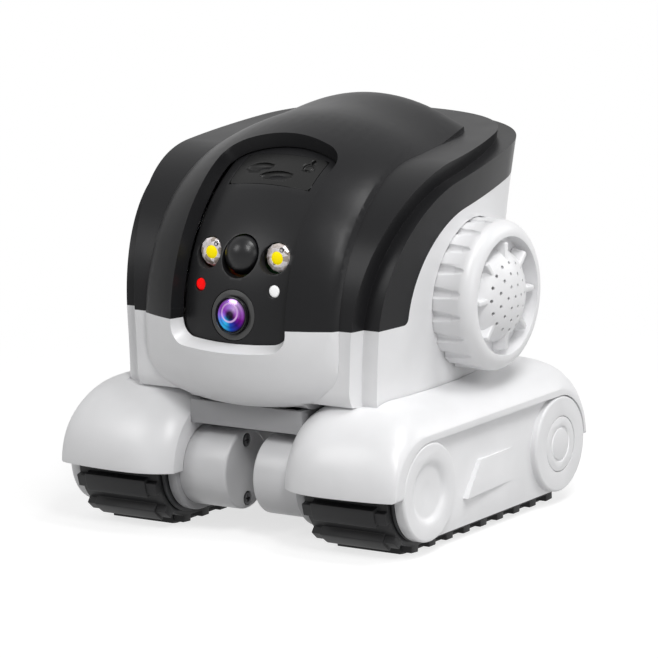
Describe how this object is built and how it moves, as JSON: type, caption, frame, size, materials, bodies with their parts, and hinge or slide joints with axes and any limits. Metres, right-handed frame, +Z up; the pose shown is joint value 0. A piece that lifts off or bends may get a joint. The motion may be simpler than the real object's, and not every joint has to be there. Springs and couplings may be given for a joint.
{
  "type": "robotic pet camera",
  "caption": "Small tracked robot with a domed black and white head, a tilting camera face with lights and sensor, and round side speakers.",
  "frame": {"origin": "middle of the whole object seen from above, on the floor under the tracks", "axes": "+Z up; -Y is the camera side, which is forwards; +X is the side seen at the right when looking at the camera face"},
  "size_m": [0.114, 0.1153, 0.1182],
  "materials": {
    "gloss_black": "satin gloss moulded",
    "panel_black": "gloss moulded",
    "soft_black": "matt soft rubber",
    "pir_black": "high gloss dome",
    "white_shell": "satin moulded",
    "grey_barrel": "satin moulded",
    "grey_frame": "satin moulded",
    "track_rubber": "matt",
    "dark_plastic": "matt",
    "steel": "machined",
    "motor_can": "plain can",
    "board_green": "solder mask",
    "lens_glass": "coated glass",
    "lamp_glass": "clear faceted",
    "chip_yellow": "phosphor",
    "red_dot": "gloss",
    "white_dot": "gloss",
    "battery_wrap": "shrink wrap",
    "port_metal": "drawn",
    "button_white": "satin moulded"
  },
  "bodies": {
    "chassis": {"barrel_screws": "steel", "battery_pack": "battery_wrap", "charge_port": "port_metal", "chassis_screws": "steel", "chassis_tray": "grey_frame", "head_lower_shell": "white_shell", "head_top_cover": "gloss_black", "left_drive_motor": "motor_can", "left_ear_grille": "white_shell", "left_ear_ring": "white_shell", "left_fender": "white_shell", "left_hub_cap": "white_shell", "left_idler_axle": "steel", "left_inner_frame": "grey_frame", "left_motor_barrel": "grey_barrel", "left_side_panel": "white_shell", "left_speaker": "dark_plastic", "left_tilt_bracket": "dark_plastic", "left_track": "track_rubber", "main_board": "board_green", "right_drive_motor": "motor_can", "right_ear_grille": "white_shell", "right_ear_ring": "white_shell", "right_fender": "white_shell", "right_hub_cap": "white_shell", "right_idler_axle": "steel", "right_inner_frame": "grey_frame", "right_motor_barrel": "grey_barrel", "right_side_panel": "white_shell", "right_speaker": "dark_plastic", "right_tilt_bracket": "dark_plastic", "right_track": "track_rubber", "tilt_motor": "motor_can"},
    "camera_drum": {"face_drum": "panel_black", "tilt_gear": "dark_plastic", "camera_board": "board_green", "lens_ring": "panel_black", "camera_lens": "lens_glass", "lens_barrel": "dark_plastic", "pir_dome": "pir_black", "left_light_lens": "lamp_glass", "right_light_lens": "lamp_glass", "light_chips": "chip_yellow", "red_indicator": "red_dot", "light_sensor": "white_dot", "card_cover": "soft_black"},
    "tilt_pinion_shaft": {"tilt_pinion": "dark_plastic"},
    "power_button": {"power_button": "button_white"},
    "left_drive": {"left_drive_shaft": "steel", "left_drive_wheel": "dark_plastic"},
    "left_idler": {"left_idler_wheel": "dark_plastic"},
    "right_drive": {"right_drive_shaft": "steel", "right_drive_wheel": "dark_plastic"},
    "right_idler": {"right_idler_wheel": "dark_plastic"}
  },
  "joints": [
    {"name": "camera_tilt", "type": "hinge", "parent": "chassis", "child": "camera_drum", "pos_m": [0, 0.0004, 0.06], "axis": [-1, 0, 0], "range_deg": [0, 15]},
    {"name": "tilt_pinion_spin", "type": "hinge", "parent": "chassis", "child": "tilt_pinion_shaft", "pos_m": [-0.022, -0.0204, 0.06], "axis": [-1, 0, 0], "range_deg": [-52, 2]},
    {"name": "power_button_press", "type": "slide", "parent": "chassis", "child": "power_button", "axis": [0, -1, 0], "range_m": [0, 0.0008], "stiffness_N_per_m": 900, "springref_m": -0.0008},
    {"name": "left_drive_spin", "type": "hinge", "parent": "chassis", "child": "left_drive", "pos_m": [-0.038, -0.0363, 0.0181], "axis": [1, 0, 0], "continuous": true},
    {"name": "left_idler_spin", "type": "hinge", "parent": "chassis", "child": "left_idler", "pos_m": [-0.038, 0.0363, 0.0181], "axis": [1, 0, 0], "continuous": true},
    {"name": "right_drive_spin", "type": "hinge", "parent": "chassis", "child": "right_drive", "pos_m": [0.038, -0.0363, 0.0181], "axis": [1, 0, 0], "continuous": true},
    {"name": "right_idler_spin", "type": "hinge", "parent": "chassis", "child": "right_idler", "pos_m": [0.038, 0.0363, 0.0181], "axis": [1, 0, 0], "continuous": true}
  ],
  "couplings": [
    {"joint": "tilt_pinion_spin", "follows": "camera_tilt", "ratio": -3.3333},
    {"joint": "left_idler_spin", "follows": "left_drive_spin", "ratio": 1},
    {"joint": "right_idler_spin", "follows": "right_drive_spin", "ratio": 1}
  ]
}
